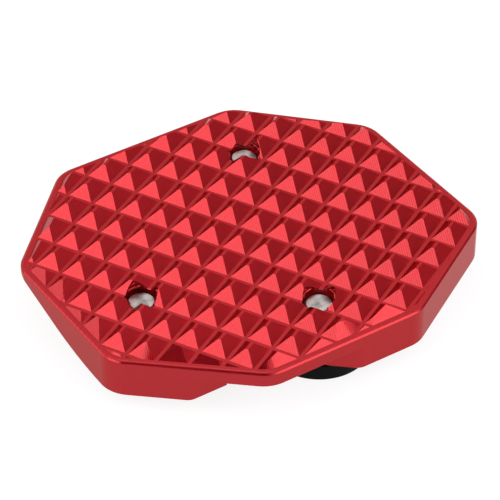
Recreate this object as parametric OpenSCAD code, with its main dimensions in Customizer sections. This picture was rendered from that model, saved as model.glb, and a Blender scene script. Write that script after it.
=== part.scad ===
// Kickstand foot enlarger for a motorcycle side stand.
// A wide base plate with a grip pattern of pyramids spreads the load of the stand's foot
// on soft ground. The foot lies in a pocket in the hidden side of the plate, and a black
// clamp plate with three countersunk screws holds it there.
// The part is modelled as it lies for its picture: the clamp plate down, the grip face up.
// Origin: on the surface the part lies on, under the middle of the plate.
// X runs along the plate's length, Y along its width. All sizes are in millimetres.

/* [Plate outline] */
// Overall length of the plate, along X
plate_length = 80.7; // [74:0.1:100]
// Overall width of the plate, along Y
plate_width = 72.1; // [68:0.1:92]
// Right rear corner: how far the cut runs along the length
cut_rr_x = 20.3; // [14:0.1:28]
// Right rear corner: how far the cut runs along the width
cut_rr_y = 20.3; // [14:0.1:28]
// Right front corner: how far the cut runs along the length
cut_rf_x = 25.9; // [18:0.1:32]
// Right front corner: how far the cut runs along the width
cut_rf_y = 15.6; // [12:0.1:24]
// Left front corner: how far the cut runs along the length
cut_lf_x = 22.1; // [16:0.1:28]
// Left front corner: how far the cut runs along the width
cut_lf_y = 19.1; // [14:0.1:26]
// Left rear corner: how far the cut runs along the length
cut_lr_x = 21.2; // [14:0.1:28]
// Left rear corner: how far the cut runs along the width
cut_lr_y = 20.8; // [14:0.1:28]
// Radius of the upright corners
corner_radius = 6.5; // [5:0.1:9]

/* [Plate section] */
// Height of the deep rim, from its underside to the groove floors
rim_height = 7.75; // [6.5:0.05:12]
// Thickness of the plate over the pocket, under the groove floors
floor_thickness = 2.85; // [2.5:0.05:3.5]
// Chamfer round the top edge of the plate
edge_chamfer = 0.4; // [0.2:0.05:0.6]
// Width of the flat ledge between that chamfer and the grip field
ledge_width = 0.95; // [0.8:0.05:2]

/* [Grip pattern] */
// Pitch of the grooves that run lengthwise along the pyramids
pitch_short = 5.55; // [5.2:0.05:8]
// Pitch of the grooves that cross them
pitch_long = 7; // [6:0.1:10]
// Width of the flat floor of a groove
groove_floor = 0.72; // [0.4:0.02:0.9]
// Height of the pyramids over the groove floors, with sides at 45 degrees
pyramid_height = 2.13; // [1.5:0.01:2.2]
// Direction of the lengthwise grooves, from the X axis
groove_angle = 28.05; // [0:0.05:60]
// Offset of the lengthwise grooves from the middle of the plate
shift_short = -2.36; // [-2.7:0.01:2.7]
// Offset of the crossing grooves from the middle of the plate
shift_long = 1.44; // [-3.5:0.01:3.5]

/* [Foot pocket] */
// Length of the pocket for the stand's foot, along the leg's direction
pocket_length = 38; // [32:0.5:39]
// Width of the pocket
pocket_width = 31; // [28:0.5:34]
// Radius of the pocket's corners
pocket_radius = 14; // [12:0.5:14]
// Direction of the pocket's long axis, from the X axis
leg_angle = 70; // [66:0.5:76]
// Position of the pocket's middle along the length
pocket_x = -2; // [-3:0.1:-1]
// Position of the pocket's middle along the width
pocket_y = 1.8; // [1:0.1:3]
// Width of the channel from the pocket to the relieved corner, where the leg passes
channel_width = 14; // [11:0.5:14.5]
// How far the channel's middle lies to the left of the pocket's long axis
channel_offset = 1.7; // [1:0.1:2.5]

/* [Relieved corner] */
// How far the relief reaches in from the front edge
relief_depth = 9.5; // [7:0.1:11]
// Where the right flank of the relief meets the front edge, from the middle of the plate
relief_right = 1.3; // [0:0.1:4]
// Rounding of the upright edges where the relief meets the rim
relief_rounding = 2.5; // [1:0.1:3]

/* [Tapered corner] */
// How far the taper would run in from the plate's left corner without its arc
taper_run = 13.3; // [10:0.1:14]
// Thickness that the taper leaves at that corner, under the groove floors
taper_edge = 1.5; // [1:0.1:2]
// Radius of the arc that leads from the level underside into the taper
taper_blend = 26; // [15:1:28]
// How far the taper's direction is turned from the left rear cut
taper_turn = 8; // [6:0.5:12]

/* [Clamp plate] */
// Thickness of the clamp plate
clamp_thickness = 3.05; // [3:0.05:4.5]
// Radius of the clamp plate's lobes round the screws
lobe_radius = 9.7; // [8.5:0.1:10.5]
// How far the bars between the lobes are narrower than the lobes, on each side
bar_waist = 1.2; // [0.6:0.1:2]
// Lip by which the clamp plate covers the pocket's edge all round
clamp_lip = 4; // [2:0.1:6]
// Lip by which the clamp plate narrows the leg's channel on each side
channel_lip = 2; // [1.5:0.1:3.5]

/* [Screws] */
// Position of the rear screw along the length
screw_rear_x = 13.9; // [12:0.1:16]
// Position of the rear screw along the width
screw_rear_y = 21.1; // [19:0.1:23]
// Position of the left screw along the length
screw_left_x = -26.2; // [-28:0.1:-24]
// Position of the left screw along the width
screw_left_y = -5.2; // [-7:0.1:-3]
// Position of the front screw along the length
screw_front_x = 0.65; // [-1:0.05:3]
// Position of the front screw along the width
screw_front_y = -23.4; // [-25:0.1:-22]
// Thread diameter of the screws
thread_d = 6; // [5:0.1:6.4]
// Diameter of the flat end of the screws
tip_d = 4.7; // [3.8:0.1:4.8]
// Lead-in chamfer of the threaded holes on the clamp side
thread_lead = 0.5; // [0.3:0.1:0.8]
// Length of the screws with their heads
screw_length = 10; // [9:0.1:10.5]
// Diameter of the countersunk heads
head_d = 11.6; // [10:0.1:12]
// Straight edge of the heads, before the cone starts
head_land = 0.2; // [0.1:0.05:0.3]
// How far the heads lie below the clamp plate's face
head_recess = 0.2; // [0.1:0.05:0.4]
// Clearance round the head's edge and the screw's shank in the clamp plate
screw_clearance = 0.3; // [0.1:0.05:0.5]
// Clearance between the screws' threads and the threads in the base plate
thread_clearance = 0.04; // [0.02:0.01:0.1]
// Width across flats of the hexagon socket
socket_size = 4; // [3:0.1:4.5]
// Depth of the hexagon socket
socket_depth = 2.2; // [1.5:0.1:2.8]

/* [Hidden] */
$fn = 96;
// Overlap of cutters past the faces they cut
over = 1;

// Heights over the surface the part lies on
z_rim = clamp_thickness;
z_floor = z_rim + rim_height;
z_pocket = z_floor - floor_thickness;
z_tips = z_floor + pyramid_height;

half_l = plate_length / 2;
half_w = plate_width / 2;

// Corners of the plate, counter-clockwise, each corner of the rectangle cut off
front_right = [half_l - cut_rf_x, -half_w];
right_front = [half_l, -half_w + cut_rf_y];
right_rear = [half_l, half_w - cut_rr_y];
rear_right = [half_l - cut_rr_x, half_w];
rear_left = [-half_l + cut_lr_x, half_w];
left_rear = [-half_l, half_w - cut_lr_y];
left_front = [-half_l, -half_w + cut_lf_y];
front_left = [-half_l + cut_lf_x, -half_w];
outline = [front_right, right_front, right_rear, rear_right,
           rear_left, left_rear, left_front, front_left];

// Screw axes
rear_screw = [screw_rear_x, screw_rear_y];
left_screw = [screw_left_x, screw_left_y];
front_screw = [screw_front_x, screw_front_y];
screws = [rear_screw, left_screw, front_screw];

// Height of the head's cone, its sides at 45 degrees
head_cone = (head_d - thread_d) / 2;
tip_chamfer = (thread_d - tip_d) / 2;
z_head = head_recess;
z_cone = z_head + head_land;
z_shank = z_cone + head_cone;
z_tip = z_head + screw_length;

// Direction of the left front cut, which the relief's right flank follows
cut_direction = unit(front_left - left_front);
relief_line = -half_w + relief_depth;
// Where the relief's left flank meets the left front cut
relief_left = left_front + cut_direction * (relief_line - left_front[1]) / cut_direction[1];
relief_corner = [relief_right, -half_w];
// Where the relief's two flanks would meet
relief_inner = relief_corner - cut_direction * relief_depth / -cut_direction[1];

// Grooves needed to cover the whole field
reach = norm([plate_length, plate_width]) / 2 + pitch_long;
groove_top = groove_floor + 2 * (pyramid_height + over);

function unit(v) = v / norm(v);

// Direction from corner i of p towards its neighbour, dir 1 for the next and -1 for the last
function towards(p, i, dir) = unit(p[(i + dir + len(p)) % len(p)] - p[i]);

// Half of the angle inside corner i
function half_angle(p, i) = acos(towards(p, i, 1) * towards(p, i, -1)) / 2;

// Centre of the arc of radius r that rounds corner i
function arc_centre(p, i, r) =
    p[i] + unit(towards(p, i, 1) + towards(p, i, -1)) * r / sin(half_angle(p, i));

// Where that arc meets the side towards a neighbour
function arc_end(p, i, r, dir) = p[i] + towards(p, i, dir) * r / tan(half_angle(p, i));

// A flat outline with each corner i rounded to radii[i], 0 for a sharp one
module rounded_outline(p, radii) {
    n = len(p);
    polygon([for (i = [0 : n - 1]) each
        radii[i] > 0
            ? [arc_end(p, i, radii[i], -1), arc_end(p, i, radii[i], 1)]
            : [p[i]]]);
    for (i = [0 : n - 1])
        if (radii[i] > 0)
            translate(arc_centre(p, i, radii[i])) circle(r = radii[i]);
}

// The plate's outline drawn in by inset at the bottom, with sides that lean in at 45 degrees
module sloped_plate(inset, h) {
    hull()
        for (i = [0 : len(outline) - 1])
            translate(arc_centre(outline, i, corner_radius))
                cylinder(h = h, r1 = corner_radius - inset, r2 = corner_radius - inset - h, $fn = 48);
}

// Section of one groove: a flat floor and two sides at 45 degrees
module groove_section() {
    polygon([[-groove_floor / 2, -over], [groove_floor / 2, -over], [groove_floor / 2, 0],
             [groove_top / 2, pyramid_height + over], [-groove_top / 2, pyramid_height + over],
             [-groove_floor / 2, 0]]);
}

// Parallel grooves along Y, side by side at the given pitch
module grooves(pitch, shift) {
    first = ceil((-reach - shift) / pitch);
    last = floor((reach - shift) / pitch);
    rotate([90, 0, 0])
        linear_extrude(height = 2 * reach, center = true)
            for (k = [first : last])
                translate([k * pitch + shift, 0]) groove_section();
}

// The pyramids, inside a border that slopes down to the ledge
module grip_field() {
    translate([0, 0, z_floor])
        difference() {
            sloped_plate(edge_chamfer + ledge_width, pyramid_height);
            rotate([0, 0, groove_angle - 90]) grooves(pitch_short, shift_short);
            rotate([0, 0, groove_angle]) grooves(pitch_long, shift_long);
        }
}

// Outline of the plate
module plate_outline() {
    rounded_outline(outline, [for (c = outline) corner_radius]);
}

// Outline of the deep rim, which stays clear of the relieved corner
module rim_outline() {
    rounded_outline(
        [front_right, right_front, right_rear, rear_right, rear_left, left_rear, left_front,
         relief_left, relief_inner, relief_corner],
        [corner_radius, corner_radius, corner_radius, corner_radius, corner_radius,
         corner_radius, corner_radius, relief_rounding, 0, relief_rounding]);
}

// Outline of the foot's pocket, drawn in by inset, and of the leg's channel that runs out
// of it, its sides drawn in by channel_inset
module pocket_outline(inset, channel_inset) {
    l = pocket_length / 2 - inset;
    w = pocket_width / 2 - inset;
    r = pocket_radius - inset;
    translate([pocket_x, pocket_y])
        rotate(leg_angle) {
            rounded_outline([[l, -w], [l, w], [-l, w], [-l, -w]], [r, r, r, r]);
            translate([-2 * pocket_length, channel_offset - channel_width / 2 + channel_inset])
                square([2 * pocket_length, channel_width - 2 * channel_inset]);
        }
}

// Section of what is cut off the underside: the level underside, an arc, and the taper
module taper_section() {
    climb = atan((rim_height - taper_edge) / taper_run);
    half_arc = taper_blend * tan(climb / 2);
    difference() {
        polygon([[-taper_run - half_arc, z_rim - over], [over, z_rim - over],
                 [over, z_floor - taper_edge + over * tan(climb)],
                 [-taper_run + half_arc * cos(climb), z_rim + half_arc * sin(climb)],
                 [-taper_run - half_arc, z_rim]]);
        translate([-taper_run - half_arc, z_rim + taper_blend])
            circle(r = taper_blend, $fn = 240);
    }
}

// What is cut off the underside towards the left corner
module taper_cut() {
    along = unit(rear_left - left_rear);
    translate([left_rear[0], left_rear[1], 0])
        rotate([0, 0, atan2(along[1], along[0]) + taper_turn])
            translate([-plate_length, 0, 0])
                rotate([90, 0, 90])
                    linear_extrude(height = 3 * plate_length) taper_section();
}

// Base plate: one milled piece
module base_plate() {
    color([0.70, 0.05, 0.08])
        difference() {
            union() {
                grip_field();
                translate([0, 0, z_floor - edge_chamfer]) sloped_plate(0, edge_chamfer);
                translate([0, 0, z_pocket])
                    linear_extrude(height = floor_thickness - edge_chamfer) plate_outline();
                translate([0, 0, z_rim])
                    linear_extrude(height = rim_height - floor_thickness) rim_outline();
            }
            translate([0, 0, z_rim - over])
                linear_extrude(height = z_pocket - z_rim + over) pocket_outline(0, 0);
            taper_cut();
            for (s = screws)
                translate([s[0], s[1], 0]) threaded_hole();
        }
}

// Hole for one screw through the base plate, with a lead-in on the clamp side
module threaded_hole() {
    d = thread_d + 2 * thread_clearance;
    translate([0, 0, z_rim - over])
        cylinder(h = z_tips - z_rim + 2 * over, d = d);
    translate([0, 0, z_rim - over])
        cylinder(h = thread_lead + over, d1 = d + 2 * (thread_lead + over), d2 = d);
    head_cavity();
}

// Outline of the clamp plate: a lobe round each screw, open where the leg comes out
module clamp_outline() {
    difference() {
        union() {
            for (s = screws) translate(s) circle(r = lobe_radius);
            clamp_bar(rear_screw, left_screw);
            clamp_bar(rear_screw, front_screw);
        }
        pocket_outline(clamp_lip, channel_lip);
    }
}

// Straight bar from one screw to another, a little narrower than the lobes
module clamp_bar(a, b) {
    side = [-unit(b - a)[1], unit(b - a)[0]] * (lobe_radius - bar_waist);
    polygon([a - side, b - side, b + side, a + side]);
}

// Clamp plate: holds the foot's edge against the base plate
module clamp_plate() {
    color([0.05, 0.05, 0.055])
        difference() {
            linear_extrude(height = clamp_thickness) clamp_outline();
            for (s = screws)
                translate([s[0], s[1], 0]) screw_seat();
        }
}

// Room for one countersunk head: the cone carries the head's cone
module head_cavity() {
    translate([0, 0, -over])
        cylinder(h = over + z_cone - screw_clearance, d = head_d + 2 * screw_clearance);
    translate([0, 0, z_cone - screw_clearance])
        cylinder(h = head_cone, d1 = head_d + 2 * screw_clearance,
                 d2 = thread_d + 2 * screw_clearance);
}

// Countersunk hole for one screw through the clamp plate
module screw_seat() {
    head_cavity();
    cylinder(h = clamp_thickness + over, d = thread_d + 2 * screw_clearance);
}

// One countersunk screw with a hexagon socket, at the screw position s
module countersunk_screw(s) {
    color([0.75, 0.76, 0.78])
        translate([s[0], s[1], 0])
            difference() {
                union() {
                    translate([0, 0, z_head]) cylinder(h = head_land, d = head_d);
                    translate([0, 0, z_cone]) cylinder(h = head_cone, d1 = head_d, d2 = thread_d);
                    translate([0, 0, z_shank])
                        cylinder(h = z_tip - tip_chamfer - z_shank, d = thread_d);
                    translate([0, 0, z_tip - tip_chamfer])
                        cylinder(h = tip_chamfer, d1 = thread_d, d2 = tip_d);
                }
                translate([0, 0, z_head - over])
                    cylinder(h = socket_depth + over, d = socket_size / cos(30), $fn = 6);
            }
}

module screw_rear() countersunk_screw(rear_screw);

module screw_left() countersunk_screw(left_screw);

module screw_front() countersunk_screw(front_screw);

base_plate();
clamp_plate();
screw_rear();
screw_left();
screw_front();
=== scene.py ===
# %% [markdown]
# # A foot enlarger for a motorcycle's side stand
#
# The object is a small octagonal plate, milled from aluminium and anodised red.
# A rider bolts it under the foot of the side stand, so that the bike stands on a wider
# sole on soft ground. Its grip face is a field of little pyramids. A black clamp plate
# and three countersunk screws hold it on the foot.
#
# This file is read from top to bottom, cell by cell. Each cell first says what the real
# thing is, then makes it. All lengths that stand for a real size are written in
# millimetres and turned to metres by one constant.

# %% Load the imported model
import math

import bmesh
import bpy
from mathutils import Matrix, Vector


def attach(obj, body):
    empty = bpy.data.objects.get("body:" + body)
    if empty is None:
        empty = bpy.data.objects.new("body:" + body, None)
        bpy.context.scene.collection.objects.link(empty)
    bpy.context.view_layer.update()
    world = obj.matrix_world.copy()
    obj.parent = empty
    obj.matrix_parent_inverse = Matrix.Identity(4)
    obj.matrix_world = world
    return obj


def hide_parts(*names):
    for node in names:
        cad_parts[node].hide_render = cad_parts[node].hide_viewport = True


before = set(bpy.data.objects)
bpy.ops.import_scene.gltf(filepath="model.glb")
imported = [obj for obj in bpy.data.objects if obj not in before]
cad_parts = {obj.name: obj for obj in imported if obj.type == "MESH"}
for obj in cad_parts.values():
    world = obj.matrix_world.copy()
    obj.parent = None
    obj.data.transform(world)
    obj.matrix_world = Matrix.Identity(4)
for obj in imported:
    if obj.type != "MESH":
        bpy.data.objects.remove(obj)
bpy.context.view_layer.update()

MM = 0.001
print("nodes:", sorted(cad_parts))

# %% [markdown]
# ## Camera
#
# The picture was taken from far away with a long lens, from the front left and well
# above, so parallel edges stay nearly parallel. The camera is put where the photographer
# stood and is aimed at a point inside the plate. The last line turns it by a small angle
# about its own axis, because the real one wasn't held quite level.

# %% Camera
CAMERA_AT = Vector((-233.57, -346.80, 339.64)) * MM
CAMERA_AIM = Vector((1.66, 0.72, 6.0)) * MM
CAMERA_LENS = 203.9
CAMERA_ROLL = math.radians(0.49)

camera_data = bpy.data.cameras.new("camera")
camera_data.sensor_width = 36.0
camera_data.lens = CAMERA_LENS
camera_data.clip_start = 0.01
camera_data.clip_end = 20.0
camera = bpy.data.objects.new("camera", camera_data)
bpy.context.scene.collection.objects.link(camera)
aim = (CAMERA_AIM - CAMERA_AT).to_track_quat("-Z", "Y").to_matrix()
camera.matrix_world = (
    Matrix.Translation(CAMERA_AT)
    @ (aim @ Matrix.Rotation(CAMERA_ROLL, 3, "Z")).to_4x4()
)
bpy.context.scene.camera = camera
print("camera:", [round(c, 3) for c in camera.location])

# %% [markdown]
# ## Small helpers
#
# Colours are written as hex values, as a paint program shows them. Blender's shaders
# work with linear light, so one function turns the one into the other. A second
# function adds a node to a tree, sets its values and links its inputs. It serves
# material trees and geometry trees alike.

# %% Helpers for nodes and colours
def linear(hex_colour):
    """The linear colour with full alpha for an sRGB hex value such as "c81e28"."""
    channels = [int(hex_colour[i : i + 2], 16) / 255 for i in (0, 2, 4)]
    return tuple(
        c / 12.92 if c <= 0.04045 else ((c + 0.055) / 1.055) ** 2.4 for c in channels
    ) + (1.0,)


def add_node(tree, kind, settings=None, **inputs):
    """Adds a node. Keys of inputs are socket names with _ for a space, or _0, _1 for a number."""
    node = tree.nodes.new(kind)
    for name, value in (settings or {}).items():
        setattr(node, name, value)
    for name, value in inputs.items():
        key = int(name[1:]) if name[1:].isdigit() else name.replace("_", " ")
        if isinstance(value, bpy.types.NodeSocket):
            tree.links.new(value, node.inputs[key])
        else:
            node.inputs[key].default_value = value
    return node


def new_material(name):
    """An empty node material and its tree."""
    material = bpy.data.materials.new(name)
    material.use_nodes = True
    material.node_tree.nodes.clear()
    return material, material.node_tree


# %% [markdown]
# ## Red anodised aluminium
#
# Anodising grows a thin clear layer of oxide on the aluminium, and the layer is dyed
# before it is sealed. Light passes the dyed layer, meets the metal and comes back red,
# so the mirror image in the metal is red, at a flat angle too. That is why the edge
# tint is red as well. A little light comes back from the top of the layer without any
# dye, which makes the walls look greyish where they are seen at a flat angle. A metal
# shader with a thin clear coat gives both.
#
# The metal under the layer is finely etched, so its image is soft, while the coat on
# top is sharper and bends light about as glass does. The cutter left fine parallel
# marks. Real ones are 0.1 to 0.2 mm apart, which is less than a pixel here, so they are
# drawn 0.37 mm apart.

# %% Red anodised aluminium
MILLING_PITCH = 0.37 * MM
MILLING_DIRECTION = math.radians(-17)

red_anodised, tree = new_material("anodised_aluminium_milled_red")
place = add_node(tree, "ShaderNodeTexCoord").outputs["Object"]
cloud = add_node(
    tree, "ShaderNodeTexNoise", Vector=place, Scale=90.0, Detail=4.0, Roughness=0.6
).outputs["Fac"]
tint = add_node(
    tree,
    "ShaderNodeMix",
    {"data_type": "RGBA"},
    Factor=cloud,
    _6=linear("a7161f"),
    _7=linear("b41822"),
).outputs[2]
gloss = add_node(
    tree, "ShaderNodeMapRange", Value=cloud, To_Min=0.27, To_Max=0.33
).outputs[0]
turned = add_node(
    tree, "ShaderNodeMapping", Vector=place, Rotation=(0.0, 0.0, -MILLING_DIRECTION)
).outputs[0]
# A wave of scale s repeats every 2 pi / (20 s) along X
marks = add_node(
    tree,
    "ShaderNodeTexWave",
    {"bands_direction": "X"},
    Vector=turned,
    Scale=2 * math.pi / (20 * MILLING_PITCH),
    Distortion=0.6,
    Detail=2.0,
    Detail_Scale=0.4,
).outputs["Fac"]
# The walls were milled with the side of a cutter, which leaves no such marks
upward = add_node(
    tree,
    "ShaderNodeSeparateXYZ",
    _0=add_node(tree, "ShaderNodeTexCoord").outputs["Normal"],
).outputs["Z"]
milled = add_node(
    tree, "ShaderNodeMapRange", Value=upward, From_Min=0.3, From_Max=0.6
).outputs[0]
marks = add_node(
    tree, "ShaderNodeMath", {"operation": "MULTIPLY"}, _0=marks, _1=milled
).outputs[0]
relief = add_node(
    tree, "ShaderNodeBump", Strength=1.0, Distance=0.016 * MM, Height=marks
).outputs[0]
shader = add_node(
    tree,
    "ShaderNodeBsdfPrincipled",
    Base_Color=tint,
    Roughness=gloss,
    Metallic=1.0,
    Specular_Tint=linear("dc2c30"),
    Coat_Weight=0.5,
    Coat_Roughness=0.12,
    Coat_IOR=1.5,
    Normal=relief,
)
add_node(tree, "ShaderNodeOutputMaterial", Surface=shader.outputs[0])
print("milling marks:", round(MILLING_PITCH / MM, 2), "mm apart")

# %% [markdown]
# ## Black anodised aluminium
#
# The clamp plate is aluminium too, dyed black and blasted with fine beads. It is satin:
# it mirrors nothing clearly, and only a soft sheen shows how its edge turns. The dye
# takes nearly all light from the metal, so a dark plain surface with a rough gloss on
# top is closer to it than a mirror. The beads leave pits of 0.1 mm.

# %% Black anodised aluminium
BEAD_PIT = 0.1 * MM

black_anodised, tree = new_material("anodised_aluminium_blasted_black")
place = add_node(tree, "ShaderNodeTexCoord").outputs["Object"]
grain = add_node(
    tree, "ShaderNodeTexNoise", Vector=place, Scale=0.5 / BEAD_PIT, Detail=2.0
).outputs["Fac"]
tint = add_node(
    tree,
    "ShaderNodeMix",
    {"data_type": "RGBA"},
    Factor=grain,
    _6=linear("040405"),
    _7=linear("090909"),
).outputs[2]
relief = add_node(
    tree, "ShaderNodeBump", Strength=0.3, Distance=0.02 * MM, Height=grain
).outputs[0]
shader = add_node(
    tree,
    "ShaderNodeBsdfPrincipled",
    Base_Color=tint,
    Roughness=0.5,
    Metallic=0.0,
    Specular_IOR_Level=0.08,
    Normal=relief,
)
add_node(tree, "ShaderNodeOutputMaterial", Surface=shader.outputs[0])

# %% [markdown]
# ## Zinc-plated steel
#
# The screws are turned steel with a bright plating of zinc. The plating is a little
# patchy: clear grey where it is smooth, milky where it has started to dull. Two noises
# give that, a coarse one for the patches and a fine one for the grain in them.

# %% Zinc-plated steel
ZINC_PATCH = 2.2 * MM
ZINC_GRAIN = 0.3 * MM

zinc_steel, tree = new_material("steel_turned_zinc_plated")
place = add_node(tree, "ShaderNodeTexCoord").outputs["Object"]
patch = add_node(
    tree, "ShaderNodeTexNoise", Vector=place, Scale=1 / ZINC_PATCH, Detail=2.0
).outputs["Fac"]
grain = add_node(
    tree, "ShaderNodeTexNoise", Vector=place, Scale=1 / ZINC_GRAIN, Detail=2.0
).outputs["Fac"]
patch = add_node(
    tree, "ShaderNodeMapRange", Value=patch, From_Min=0.35, From_Max=0.65
).outputs[0]
both = add_node(
    tree, "ShaderNodeMath", {"operation": "MULTIPLY_ADD"}, _0=grain, _1=0.5, _2=patch
).outputs[0]
tint = add_node(
    tree,
    "ShaderNodeMix",
    {"data_type": "RGBA"},
    Factor=both,
    _6=linear("6e6866"),
    _7=linear("bfb8b5"),
).outputs[2]
relief = add_node(
    tree, "ShaderNodeBump", Strength=0.5, Distance=0.03 * MM, Height=grain
).outputs[0]
shader = add_node(
    tree,
    "ShaderNodeBsdfPrincipled",
    Base_Color=tint,
    Roughness=0.38,
    Metallic=1.0,
    Normal=relief,
)
add_node(tree, "ShaderNodeOutputMaterial", Surface=shader.outputs[0])

# %% [markdown]
# ## Clamp plate and screws
#
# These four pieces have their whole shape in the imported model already: lobes, countersinks,
# cones and sockets. They stay as they are and only get their finish, in the material
# slots that their meshes have.

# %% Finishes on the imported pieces
FINISHES = {
    "clamp_plate": black_anodised,
    "screw_rear": zinc_steel,
    "screw_left": zinc_steel,
    "screw_front": zinc_steel,
}
for node_name, material in FINISHES.items():
    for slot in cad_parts[node_name].material_slots:
        slot.material = material
print("finished nodes:", list(FINISHES))

# %% [markdown]
# ## Grip plate
#
# On the real plate no outer edge is razor sharp. The top chamfer runs softly into the
# wall and into the ledge, and the rim's lower edge was broken with a small cut before
# the plate was dyed. These roundings are only a quarter of a millimetre, but each one
# catches a bright or a dark line of light, and those lines draw the plate's outline.
#
# The rounding could be a bump in the material, but then the mesh would lack it. Here a
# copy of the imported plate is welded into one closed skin, the edges that run round it
# get a weight, and a Bevel modifier rounds each by its weight.

# %% Weld a copy of the plate
WELD = 0.002 * MM
FLAT_ANGLE = math.radians(0.3)

skin = bmesh.new()
skin.from_mesh(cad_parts["base_plate"].data)
bmesh.ops.remove_doubles(skin, verts=skin.verts, dist=WELD)
bmesh.ops.dissolve_limit(
    skin, angle_limit=FLAT_ANGLE, verts=skin.verts[:], edges=skin.edges[:]
)
print("welded plate:", len(skin.verts), "points,", len(skin.faces), "faces")

# %% [markdown]
# The edges are told apart by what they join. An edge that runs round the top joins a
# wall to the chamfer or the chamfer to the ledge, so it bulges out and lies at one of two
# heights. An edge of the underside joins a wall to a face that looks down. The screw
# holes keep their own edges.

# %% Weights for the edges that get rounded
LEDGE_HEIGHT = 10.8 * MM
CHAMFER_FOOT = 10.4 * MM
POCKET_ROOF = 7.95 * MM
ROUNDING = 0.24 * MM
CHAMFER_FOOT_SHARE = 0.25
UNDERSIDE_SHARE = 0.9
SCREWS = [Vector(s) * MM for s in ((13.9, 21.1), (-26.2, -5.2), (0.65, -23.4))]
HOLE_REACH = 7.5 * MM
SAME_HEIGHT = 0.02 * MM
BLUNT_ANGLE = math.radians(20)
# The upward part of a face's normal, below which it looks down or counts as upright
LOOKS_DOWN = -0.5
UPRIGHT = 0.1


def at_height(edge, height):
    """Whether both ends of the edge lie at this height."""
    return all(abs(v.co.z - height) < SAME_HEIGHT for v in edge.verts)


def near_a_screw(edge):
    """Whether the edge belongs to a screw hole."""
    middle = (edge.verts[0].co + edge.verts[1].co) / 2
    return any((middle.xy - s).length < HOLE_REACH for s in SCREWS)


def rounding_share(edge):
    """How much of the full rounding this edge gets."""
    if len(edge.link_faces) != 2 or not edge.is_convex:
        return 0.0
    if edge.calc_face_angle() < BLUNT_ANGLE:
        return 0.0
    if at_height(edge, LEDGE_HEIGHT):
        return 1.0
    if at_height(edge, CHAMFER_FOOT):
        return CHAMFER_FOOT_SHARE
    if at_height(edge, POCKET_ROOF):
        return 0.0
    lower, upper = sorted(face.normal.z for face in edge.link_faces)
    if lower < LOOKS_DOWN and abs(upper) < UPRIGHT and not near_a_screw(edge):
        return UNDERSIDE_SHARE
    return 0.0


weight = skin.edges.layers.float.new("bevel_weight_edge")
for edge in skin.edges:
    edge[weight] = rounding_share(edge)
print("rounded edges:", sum(1 for edge in skin.edges if edge[weight] > 0))

# %% [markdown]
# The modifier's result becomes a plain mesh. Faces that meet at a small angle are then
# shaded as one curve, and a Weighted Normal modifier lets the large flat faces set the
# direction there, so that they stay flat to the eye.

# %% Bevel and shade the plate
SMOOTH_ANGLE = math.radians(22)
ROUNDING_STEPS = 3


def applied(piece):
    """Turns what the piece's modifiers give into its plain mesh."""
    bpy.context.view_layer.update()
    shaped = piece.evaluated_get(bpy.context.evaluated_depsgraph_get())
    mesh = bpy.data.meshes.new_from_object(shaped)
    piece.modifiers.clear()
    piece.data = mesh
    return mesh


mesh = bpy.data.meshes.new("grip_plate")
skin.to_mesh(mesh)
skin.free()
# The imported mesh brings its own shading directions, which no longer fit the welded faces
if "custom_normal" in mesh.attributes:
    mesh.attributes.remove(mesh.attributes["custom_normal"])
mesh.materials.clear()
mesh.materials.append(red_anodised)
grip_plate = bpy.data.objects.new("grip_plate", mesh)
bpy.context.scene.collection.objects.link(grip_plate)
bevel = grip_plate.modifiers.new("edges", "BEVEL")
bevel.limit_method = "WEIGHT"
bevel.width = ROUNDING
bevel.segments = ROUNDING_STEPS
bevel.use_clamp_overlap = False
mesh = applied(grip_plate)
# Where two roundings meet, the modifier leaves a few edges without any length
skin = bmesh.new()
skin.from_mesh(mesh)
bmesh.ops.dissolve_degenerate(skin, dist=WELD, edges=skin.edges[:])
skin.to_mesh(mesh)
skin.free()
mesh.shade_smooth()
mesh.set_sharp_from_angle(angle=SMOOTH_ANGLE)
shading = grip_plate.modifiers.new("shading", "WEIGHTED_NORMAL")
shading.keep_sharp = True
mesh = applied(grip_plate)
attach(grip_plate, "root")
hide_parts("base_plate")
probe = bmesh.new()
probe.from_mesh(mesh)
print(
    "grip plate:", len(mesh.polygons), "faces,",
    sum(1 for e in probe.edges if len(e.link_faces) != 2), "open edges,",
    sum(1 for e in probe.edges if e.calc_length() < WELD / 2), "edges without length",
)
probe.free()

# %% [markdown]
# ## Threads in the screw holes
#
# The holes are threaded right through, and above the screws' ends the turns of the
# thread show as dark ridges on the far wall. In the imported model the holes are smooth.
#
# A thread is a small triangle that is swept along a helix, which is what Geometry Nodes
# do well: a Spiral curve, a three-sided profile, Curve to Mesh, and an instance at each
# hole. The mouth of each hole is uneven, because it cuts through the pyramids. So every
# point of the ridge that would stand above the metal is pushed back into the wall. For
# that the tree works out the height of the grip field from its two sets of grooves.

# %% The grip field's height as nodes
GROOVE_ANGLE = math.radians(28.05)
PYRAMID_HEIGHT = 2.13 * MM
GROOVE_FLOOR = 0.72 * MM
# For each set of grooves: the direction across them, their pitch and their offset
GROOVE_SETS = (
    (GROOVE_ANGLE - math.pi / 2, 5.55 * MM, -2.36 * MM),
    (GROOVE_ANGLE, 7.0 * MM, 1.44 * MM),
)


def maths(tree, operation, *values):
    """The result of one Math node on these values or sockets."""
    inputs = {f"_{i}": value for i, value in enumerate(values)}
    return add_node(tree, "ShaderNodeMath", {"operation": operation}, **inputs).outputs[0]


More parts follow.
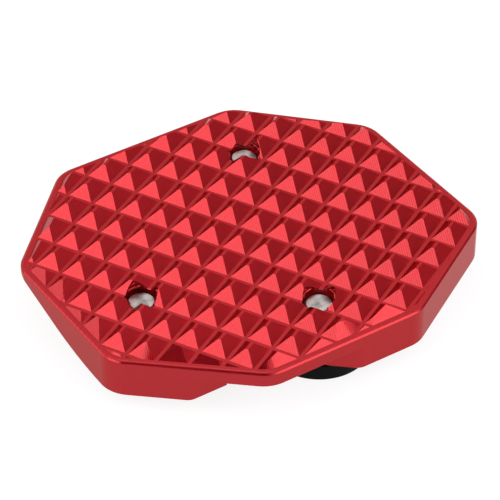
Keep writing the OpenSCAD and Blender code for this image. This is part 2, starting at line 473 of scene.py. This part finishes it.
def field_height(tree, point):
    """The height of the grip field's surface over this point."""
    rise = None
    for direction, pitch, offset in GROOVE_SETS:
        across = add_node(
            tree,
            "ShaderNodeVectorMath",
            {"operation": "DOT_PRODUCT"},
            _0=point,
            _1=(math.cos(direction), math.sin(direction), 0.0),
        ).outputs["Value"]
        from_groove = maths(tree, "SUBTRACT", across, offset)
        from_groove = maths(tree, "WRAP", from_groove, pitch / 2, -pitch / 2)
        from_groove = maths(tree, "ABSOLUTE", from_groove)
        side = maths(tree, "SUBTRACT", from_groove, GROOVE_FLOOR / 2)
        rise = side if rise is None else maths(tree, "MINIMUM", rise, side)
    rise = maths(tree, "MAXIMUM", rise, 0.0)
    rise = maths(tree, "MINIMUM", rise, PYRAMID_HEIGHT)
    return maths(tree, "ADD", rise, LEDGE_HEIGHT)


# %% [markdown]
# The tree has named inputs for the thread's sizes. The ridge is drawn round the origin,
# set down at each hole, and only then trimmed, because each hole meets the field in
# another place. The trim works in the hole's own frame: its nearest screw axis is stored
# on the points before the ridge is set down.

# %% Geometry Nodes tree for the threads
THREAD_PITCH = 1.0 * MM
THREAD_ROOT = 3.28 * MM
THREAD_CREST = 2.5 * MM
THREAD_START = 10.45 * MM
THREAD_TURNS = 2.6
STEPS_PER_TURN = 48
WALL = 3.04 * MM

ridges = bpy.data.node_groups.new("thread_ridges", "GeometryNodeTree")
ridges.is_modifier = True
for name, in_out, kind in (
    ("Holes", "INPUT", "NodeSocketGeometry"),
    ("Pitch", "INPUT", "NodeSocketFloat"),
    ("Root Radius", "INPUT", "NodeSocketFloat"),
    ("Crest Radius", "INPUT", "NodeSocketFloat"),
    ("Turns", "INPUT", "NodeSocketFloat"),
    ("Ridges", "OUTPUT", "NodeSocketGeometry"),
):
    ridges.interface.new_socket(name, in_out=in_out, socket_type=kind)
given = ridges.nodes.new("NodeGroupInput").outputs

# A triangle's points lie at a radius from its middle, its base at half of that
depth = maths(ridges, "SUBTRACT", given["Root Radius"], given["Crest Radius"])
profile_radius = maths(ridges, "DIVIDE", depth, 1.5)
helix_radius = maths(ridges, "ADD", given["Crest Radius"], profile_radius)
helix = add_node(
    ridges,
    "GeometryNodeCurveSpiral",
    Resolution=STEPS_PER_TURN,
    Rotations=given["Turns"],
    Start_Radius=helix_radius,
    End_Radius=helix_radius,
    Height=maths(ridges, "MULTIPLY", given["Turns"], given["Pitch"]),
).outputs[0]
helix = add_node(
    ridges, "GeometryNodeSetCurveNormal", {"mode": "Z_UP"}, Curve=helix
).outputs[0]
profile = add_node(
    ridges, "GeometryNodeCurvePrimitiveCircle", Resolution=3, Radius=profile_radius
).outputs[0]
ridge = add_node(
    ridges,
    "GeometryNodeCurveToMesh",
    Curve=helix,
    Profile_Curve=profile,
    Fill_Caps=True,
).outputs[0]
axis_place = add_node(
    ridges,
    "GeometryNodeStoreNamedAttribute",
    {"data_type": "FLOAT_VECTOR", "domain": "POINT"},
    Geometry=given["Holes"],
    Name="hole_axis",
    Value=add_node(ridges, "GeometryNodeInputPosition").outputs[0],
).outputs[0]
placed = add_node(
    ridges, "GeometryNodeInstanceOnPoints", Points=axis_place, Instance=ridge
).outputs[0]
placed = add_node(ridges, "GeometryNodeRealizeInstances", Geometry=placed).outputs[0]

# %% [markdown]
# Trimming: the point of the wall beside each ridge point tells how high the metal is
# there. Within a quarter of a millimetre of that height the ridge runs out into the wall.

# %% Trim the ridges at the mouths
RUN_OUT = 0.25 * MM
BELOW = 0.05 * MM
SUNK = 0.35 * MM

position = add_node(ridges, "GeometryNodeInputPosition").outputs[0]
axis = add_node(
    ridges, "GeometryNodeInputNamedAttribute", {"data_type": "FLOAT_VECTOR"}, Name="hole_axis"
).outputs[0]
spoke = add_node(
    ridges, "ShaderNodeVectorMath", {"operation": "SUBTRACT"}, _0=position, _1=axis
).outputs[0]
flat = add_node(
    ridges, "ShaderNodeVectorMath", {"operation": "MULTIPLY"}, _0=spoke, _1=(1.0, 1.0, 0.0)
).outputs[0]
radius = add_node(
    ridges, "ShaderNodeVectorMath", {"operation": "LENGTH"}, _0=flat
).outputs["Value"]
outward = add_node(
    ridges, "ShaderNodeVectorMath", {"operation": "NORMALIZE"}, _0=flat
).outputs[0]


def on_spoke(distance):
    """The point at this distance from the hole's axis, on the same side as the ridge point."""
    reach = add_node(
        ridges, "ShaderNodeVectorMath", {"operation": "SCALE"}, _0=outward, Scale=distance
    ).outputs[0]
    return add_node(
        ridges, "ShaderNodeVectorMath", {"operation": "ADD"}, _0=axis, _1=reach
    ).outputs[0]


metal = maths(
    ridges,
    "MINIMUM",
    field_height(ridges, on_spoke(given["Root Radius"])),
    field_height(ridges, on_spoke(WALL)),
)
height = add_node(ridges, "ShaderNodeSeparateXYZ", _0=position).outputs["Z"]
room = maths(ridges, "SUBTRACT", maths(ridges, "SUBTRACT", metal, BELOW), height)
kept = add_node(
    ridges, "ShaderNodeMapRange", Value=room, From_Min=0.0, From_Max=RUN_OUT
).outputs[0]
new_radius = add_node(
    ridges, "ShaderNodeMapRange", Value=kept, To_Min=given["Root Radius"], To_Max=radius
).outputs[0]
highest = add_node(
    ridges,
    "ShaderNodeMapRange",
    Value=kept,
    To_Min=maths(ridges, "SUBTRACT", metal, SUNK),
    To_Max=maths(ridges, "SUBTRACT", metal, BELOW),
).outputs[0]
new_height = maths(ridges, "MINIMUM", height, highest)
level = add_node(
    ridges,
    "ShaderNodeVectorMath",
    {"operation": "MULTIPLY"},
    _0=on_spoke(new_radius),
    _1=(1.0, 1.0, 0.0),
).outputs[0]
lift = add_node(ridges, "ShaderNodeCombineXYZ", Z=new_height).outputs[0]
trimmed = add_node(
    ridges,
    "GeometryNodeSetPosition",
    Geometry=placed,
    Position=add_node(
        ridges, "ShaderNodeVectorMath", {"operation": "ADD"}, _0=level, _1=lift
    ).outputs[0],
).outputs[0]
finished = add_node(
    ridges, "GeometryNodeSetMaterial", Geometry=trimmed, Material=red_anodised
).outputs[0]
add_node(ridges, "NodeGroupOutput", Ridges=finished)

# %% [markdown]
# The tree runs on a mesh of three loose points, one on each hole's axis at the height
# where the thread starts to show.

# %% Thread ridges
mesh = bpy.data.meshes.new("thread_ridges")
mesh.from_pydata([(s.x, s.y, THREAD_START) for s in SCREWS], [], [])
thread_ridges = bpy.data.objects.new("thread_ridges", mesh)
bpy.context.scene.collection.objects.link(thread_ridges)
threads = thread_ridges.modifiers.new("threads", "NODES")
threads.node_group = ridges
socket_ids = {
    item.name: item.identifier
    for item in ridges.interface.items_tree
    if item.item_type == "SOCKET" and item.in_out == "INPUT"
}
for name, value in (
    ("Pitch", THREAD_PITCH),
    ("Root Radius", THREAD_ROOT),
    ("Crest Radius", THREAD_CREST),
    ("Turns", THREAD_TURNS),
):
    threads[socket_ids[name]] = value
mesh = applied(thread_ridges)
shell = bmesh.new()
shell.from_mesh(mesh)
bmesh.ops.recalc_face_normals(shell, faces=shell.faces)
shell.to_mesh(mesh)
print(
    "thread ridges:", len(mesh.polygons), "faces, heights",
    [round(f(v.co.z for v in mesh.vertices) / MM, 2) for f in (min, max)],
    "open edges", sum(1 for e in shell.edges if len(e.link_faces) != 2),
)
shell.free()
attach(thread_ridges, "root")

# %% [markdown]
# ## Studio
#
# The plate lies on a white table that runs out of the picture. The table could be lit
# until it is white, but then the metal would be far too bright. So it is a sheet of
# grey paper that takes the object's shadow, and it glows only in what the camera, metal
# and glass see. It lies a hair below the part, because two faces in one plane flicker.

# %% Floor
def white_for_view(tree, lit_shader, strength):
    """Mixes the lit surface with plain white light for what the camera, metal and glass see."""
    path = add_node(tree, "ShaderNodeLightPath")
    seen = add_node(
        tree,
        "ShaderNodeMath",
        {"operation": "MAXIMUM"},
        _0=path.outputs["Is Camera Ray"],
        _1=path.outputs["Is Glossy Ray"],
    )
    seen = add_node(
        tree,
        "ShaderNodeMath",
        {"operation": "MAXIMUM"},
        _0=seen.outputs[0],
        _1=path.outputs["Is Transmission Ray"],
    )
    glow = add_node(
        tree, "ShaderNodeEmission", Color=(1.0, 1.0, 1.0, 1.0), Strength=strength
    )
    both = add_node(tree, "ShaderNodeAddShader", _0=lit_shader, _1=glow.outputs[0])
    return add_node(
        tree, "ShaderNodeMixShader", _0=seen.outputs[0], _1=lit_shader, _2=both.outputs[0]
    )


def flat_sheet(name, width, height, place, material):
    """A flat sheet of the studio, drawn round the origin and then put in its place."""
    w, h = width / 2, height / 2
    mesh = bpy.data.meshes.new(name)
    mesh.from_pydata(
        [place @ Vector(c) for c in ((-w, -h, 0), (w, -h, 0), (w, h, 0), (-w, h, 0))],
        [],
        [(0, 1, 2, 3)],
    )
    mesh.materials.append(material)
    sheet = bpy.data.objects.new(name, mesh)
    bpy.context.scene.collection.objects.link(sheet)
    return sheet


# With the light that falls on the paper, this glow comes to white
FLOOR_GLOW = 0.85
FLOOR_SIZE = 30.0
# A hair below the part, so that the two never share a plane
FLOOR_HEIGHT = -0.05 * MM

floor_white, tree = new_material("floor_white_paper")
paper = add_node(
    tree, "ShaderNodeBsdfDiffuse", Color=linear("808080"), Roughness=0.5
).outputs[0]
add_node(
    tree,
    "ShaderNodeOutputMaterial",
    Surface=white_for_view(tree, paper, FLOOR_GLOW).outputs[0],
)
floor = flat_sheet(
    "floor", FLOOR_SIZE, FLOOR_SIZE, Matrix.Translation((0.0, 0.0, FLOOR_HEIGHT)), floor_white
)
print("floor:", FLOOR_SIZE, "m wide, at", round(FLOOR_HEIGHT / MM, 2), "mm")

# %% [markdown]
# The room is plain white light at a strength of 1, which is also the background above
# the table. At that level a colour renders about as it is written.

# %% World
world = bpy.data.worlds.new("studio")
bpy.context.scene.world = world
world.use_nodes = True
tree = world.node_tree
tree.nodes.clear()
glow = add_node(tree, "ShaderNodeBackground", Color=(1.0, 1.0, 1.0, 1.0), Strength=1.0)
add_node(tree, "ShaderNodeOutputWorld", Surface=glow.outputs[0])
print("world:", world.name)

# %% [markdown]
# Milled metal only shows what it mirrors, so each lamp and card stands where one set of
# faces mirrors it. The large lamp on the left is for the lit sides of the pyramids, the
# one at the front right for the chamfers and slopes of the front, the one at the back
# left for the walls on the left. The one overhead brightens what looks up.
#
# The cards are grey and keep the rest from mirroring the white room. The one on the
# camera's side and the one at the right make the dark sides of the pyramids, the one
# overhead at the right darkens the right-hand chamfers, and the one at the back right
# gives the flat tops and the ledge their middle red. The camera sees none of them.

# %% Lamps and cards
STUDIO_DISTANCE = 2.0


def towards(azimuth, elevation):
    """The unit vector to a place at these degrees, azimuth 0 along +X and 90 along +Y."""
    a, e = math.radians(azimuth), math.radians(elevation)
    return Vector((math.cos(a) * math.cos(e), math.sin(a) * math.cos(e), math.sin(e)))


def add_lamp(name, azimuth, elevation, width, height, brightness):
    """A soft lamp that looks at the object. At a brightness of about 0.75 it mirrors as white."""
    data = bpy.data.lights.new(name, "AREA")
    data.shape = "RECTANGLE"
    data.size, data.size_y = width, height
    data.energy = brightness * math.pi * width * height
    lamp = bpy.data.objects.new(name, data)
    bpy.context.scene.collection.objects.link(lamp)
    lamp.location = towards(azimuth, elevation) * STUDIO_DISTANCE
    lamp.rotation_euler = (-lamp.location).to_track_quat("-Z", "Y").to_euler()
    lamp.visible_camera = False
    return lamp


def add_card(name, azimuth, elevation, width, height, brightness):
    """A grey card that metal mirrors, as bright as that part of white."""
    material, tree = new_material(name + "_grey")
    glow = add_node(
        tree, "ShaderNodeEmission", Color=(1.0, 1.0, 1.0, 1.0), Strength=brightness
    )
    add_node(tree, "ShaderNodeOutputMaterial", Surface=glow.outputs[0])
    place = Matrix.Translation(towards(azimuth, elevation) * STUDIO_DISTANCE) @ (
        (-towards(azimuth, elevation)).to_track_quat("-Z", "Y").to_matrix().to_4x4()
    )
    card = flat_sheet(name, width, height, place, material)
    card.visible_camera = False
    return card


# Name, azimuth and elevation in degrees, width and height in metres, brightness
LAMPS = (
    ("lamp_left", 177, 42, 1.2, 1.2, 2.0),
    ("lamp_front_right", -54, 40, 1.2, 1.2, 2.2),
    ("lamp_back_left", 134, 26, 0.8, 0.6, 1.25),
    ("lamp_overhead", 60, 59, 0.6, 0.85, 1.45),
)
CARDS = (
    ("card_camera_side", -134, 54, 1.55, 1.4, 0.02),
    ("card_right", -8, 20, 0.95, 0.65, 0.23),
    ("card_overhead_right", 4, 64, 0.5, 0.4, 0.3),
    ("card_back_right", 56, 36, 1.0, 0.4, 0.75),
)
for row in LAMPS:
    add_lamp(*row)
for row in CARDS:
    add_card(*row)
print("lamps and cards:", [row[0] for row in LAMPS + CARDS])

# %% [markdown]
# ## Last lines
#
# The view settings stay at Standard, so that a colour renders about as it is written.

# %% View settings
bpy.context.scene.view_settings.view_transform = "Standard"
